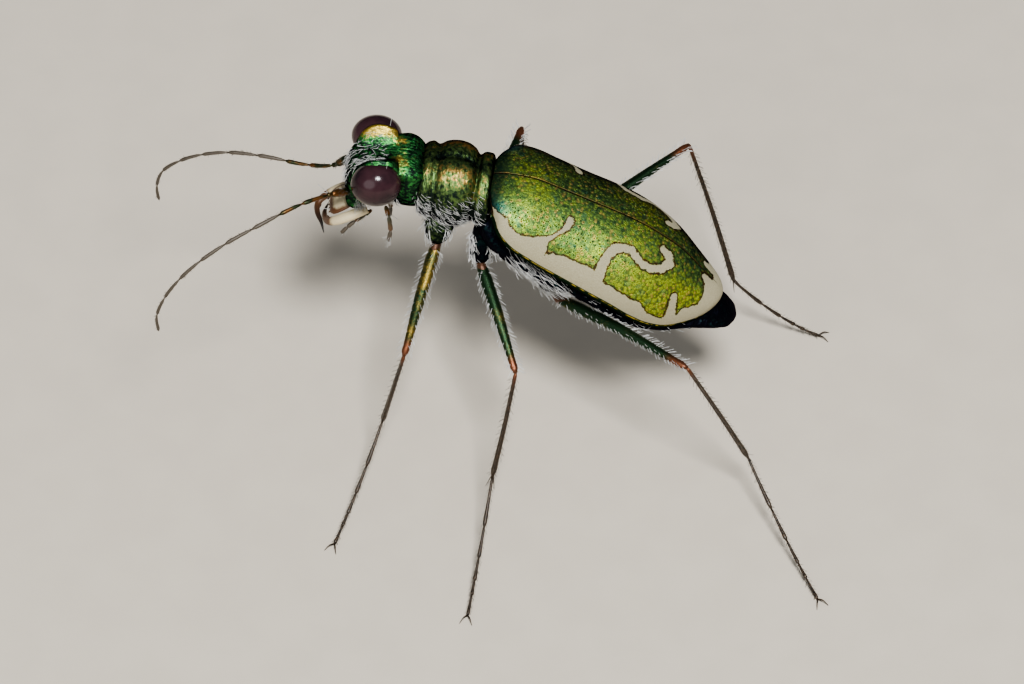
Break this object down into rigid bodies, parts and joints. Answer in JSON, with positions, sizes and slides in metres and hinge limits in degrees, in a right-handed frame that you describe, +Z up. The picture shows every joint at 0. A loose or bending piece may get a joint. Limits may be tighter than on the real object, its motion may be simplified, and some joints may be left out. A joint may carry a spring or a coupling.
{
  "type": "tiger beetle model",
  "caption": "Life-size still model of a green tiger beetle standing on long thin legs, with big eyes, sickle jaws, long feelers and cream-banded wing cases.",
  "frame": {"origin": "on the ground under the middle of the model's box", "axes": "+Z up from the ground, -X the way the head points, -Y the beetle's left side"},
  "size_m": [0.0216, 0.0176, 0.0108],
  "materials": {
    "wing_case": "granular metallic green chitin with cream bands",
    "thorax_shell": "metallic copper and green chitin",
    "head_shell": "metallic green chitin, finely grooved",
    "underside": "dark chitin with white hairs",
    "eye": "glossy dark brown",
    "lip": "satin cream",
    "mandible": "cream at the root, brown to the tip",
    "feeler": "satin brown, coppery at the root",
    "femur": "metallic green to copper",
    "shin": "satin brown"
  },
  "bodies": {
    "root": {"head": "head_shell", "eye_left": "eye", "eye_right": "eye", "labrum": "lip", "mandible_left": "mandible", "mandible_right": "mandible", "maxillary_palp_left": "feeler", "maxillary_palp_right": "feeler", "labial_palp_left": "feeler", "labial_palp_right": "feeler", "antenna_left": "feeler", "antenna_right": "feeler", "prothorax": "thorax_shell", "thorax": "underside", "abdomen": "underside", "elytron_left": "wing_case", "elytron_right": "wing_case", "femur_front_left": "femur", "femur_front_right": "femur", "femur_middle_left": "femur", "femur_middle_right": "femur", "femur_hind_left": "femur", "femur_hind_right": "femur", "tibia_front_left": "shin", "tibia_front_right": "shin", "tibia_middle_left": "shin", "tibia_middle_right": "shin", "tibia_hind_left": "shin", "tibia_hind_right": "shin", "tarsus_front_left": "shin", "tarsus_front_right": "shin", "tarsus_middle_left": "shin", "tarsus_middle_right": "shin", "tarsus_hind_left": "shin", "tarsus_hind_right": "shin"}
  },
  "joints": []
}
